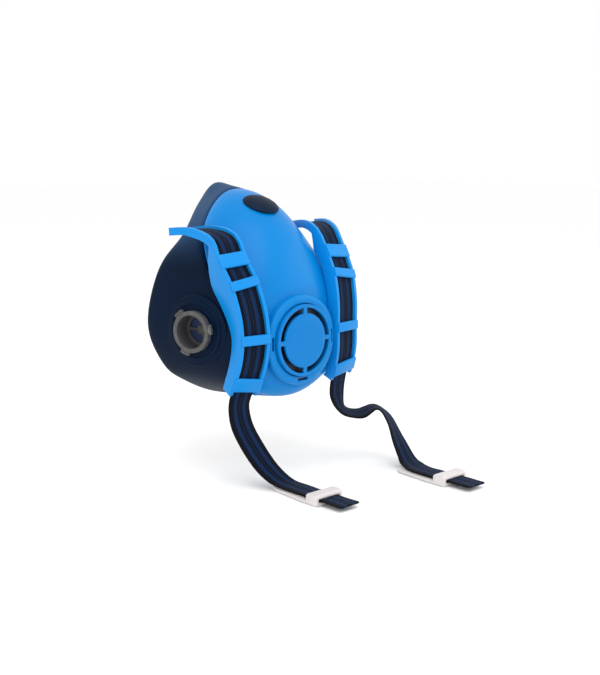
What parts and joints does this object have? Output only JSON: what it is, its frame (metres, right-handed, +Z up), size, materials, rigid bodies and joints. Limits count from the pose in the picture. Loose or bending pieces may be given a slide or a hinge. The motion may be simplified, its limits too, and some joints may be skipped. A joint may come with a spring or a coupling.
{
  "type": "half-mask respirator",
  "caption": "Reusable rubber half mask with hard shell, front exhalation valve, bayonet filter ports and webbing strap ends with sliding buckles.",
  "frame": {"origin": "middle of the opening that seals on the wearer's face", "axes": "+Z up the face, -Y straight ahead of the wearer, +X to the wearer's left"},
  "size_m": [0.1389, 0.1682, 0.1809],
  "materials": {
    "face_rubber": "satin moulded rubber, dark navy, slate blue at the face seal",
    "shell_blue": "glossy moulded plastic, sky blue",
    "guide_blue": "glossy moulded plastic, sky blue",
    "cover_blue": "satin moulded plastic, sky blue",
    "stud_navy": "satin rubber, navy",
    "valve_white": "plain moulded plastic",
    "fitting_grey": "moulded plastic, mid grey",
    "flap_rubber": "thin soft rubber",
    "flap_blue": "thin soft rubber, blue",
    "latch_dark": "dark red-brown plastic",
    "seal_black": "soft rubber",
    "webbing": "woven elastic webbing, black with navy stripes",
    "buckle_white": "satin moulded plastic, off-white"
  },
  "bodies": {
    "mask": {"face_piece": "face_rubber", "outer_shell": "shell_blue", "nose_stud": "stud_navy", "exhale_seat": "valve_white", "seat_ring": "fitting_grey", "cover_latches": "latch_dark", "right_connector": "fitting_grey", "left_connector": "fitting_grey", "right_port_gasket": "seal_black", "left_port_gasket": "seal_black", "right_connector_nut": "fitting_grey", "left_connector_nut": "fitting_grey", "right_strap_guide": "guide_blue", "left_strap_guide": "guide_blue", "right_strap": "webbing", "left_strap": "webbing"},
    "exhale_flap": {"exhale_flap": "flap_rubber"},
    "exhale_cover": {"exhale_cover": "cover_blue"},
    "right_inhale_flap": {"right_inhale_flap": "flap_blue"},
    "left_inhale_flap": {"left_inhale_flap": "flap_blue"},
    "right_tail": {"right_strap_tail": "webbing"},
    "left_tail": {"left_strap_tail": "webbing"},
    "right_buckle": {"right_buckle": "buckle_white"},
    "left_buckle": {"left_buckle": "buckle_white"}
  },
  "joints": [
    {"name": "exhale_flap_lift", "type": "slide", "parent": "mask", "child": "exhale_flap", "axis": [0, -1, 0], "range_m": [0, 0.0012], "stiffness_N_per_m": 5},
    {"name": "cover_turn", "type": "hinge", "parent": "mask", "child": "exhale_cover", "pos_m": [0, -0.0665, -0.0244], "axis": [0, -1, 0], "range_deg": [0, 30]},
    {"name": "right_inhale_lift", "type": "slide", "parent": "mask", "child": "right_inhale_flap", "axis": [0.9563, 0.2924, 0], "range_m": [0, 0.0012], "stiffness_N_per_m": 5},
    {"name": "left_inhale_lift", "type": "slide", "parent": "mask", "child": "left_inhale_flap", "axis": [-0.9563, 0.2924, 0], "range_m": [0, 0.0012], "stiffness_N_per_m": 5},
    {"name": "right_tail_swing", "type": "hinge", "parent": "mask", "child": "right_tail", "pos_m": [-0.0407, -0.0588, -0.0534], "axis": [0.9903, -0.139, 0], "range_deg": [-15, 15]},
    {"name": "left_tail_swing", "type": "hinge", "parent": "mask", "child": "left_tail", "pos_m": [0.0407, -0.0588, -0.0534], "axis": [0.9903, 0.139, 0], "range_deg": [-15, 15]},
    {"name": "right_buckle_slide", "type": "slide", "parent": "right_tail", "child": "right_buckle", "axis": [0, -1, 0], "range_m": [-0.006, 0.004]},
    {"name": "left_buckle_slide", "type": "slide", "parent": "left_tail", "child": "left_buckle", "axis": [0, -1, 0], "range_m": [-0.006, 0.004]}
  ]
}
